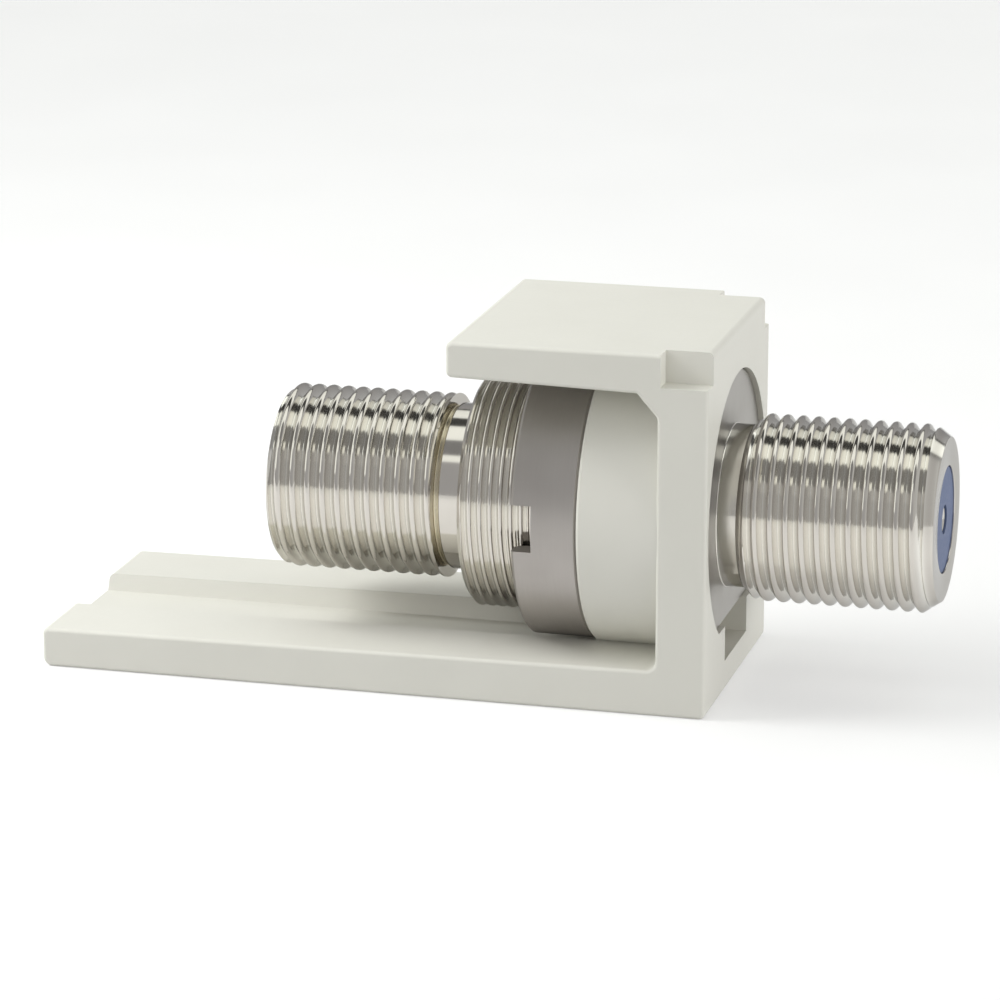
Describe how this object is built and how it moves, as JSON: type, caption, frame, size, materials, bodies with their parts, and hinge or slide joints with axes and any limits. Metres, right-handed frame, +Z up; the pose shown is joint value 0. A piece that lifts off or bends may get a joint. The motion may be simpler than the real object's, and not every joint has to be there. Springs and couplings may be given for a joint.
{
  "type": "f connector",
  "caption": "Female-to-female F-type coaxial coupler, clamped by a slotted ring nut in a snap-in jack housing with a long grooved arm.",
  "frame": {"origin": "under the middle of the whole length, on the plane of the arm's lower face", "axes": "+X out of the front port along the connector's axis, +Z up from the arm to the top plate"},
  "size_m": [0.0456, 0.015, 0.0185],
  "materials": {
    "housing_plastic": "off-white moulded plastic, satin",
    "nickel": "bright nickel plate on turned brass",
    "nut_nickel": "satin nickel plate on turned brass",
    "blue_insulator": "blue moulded plastic",
    "contact_tin": "tin-plated spring bronze"
  },
  "bodies": {
    "root": {"housing": "housing_plastic", "connector_body": "nickel", "ring_nut": "nut_nickel", "front_insulator": "blue_insulator", "rear_insulator": "blue_insulator", "contact": "contact_tin"}
  },
  "joints": []
}
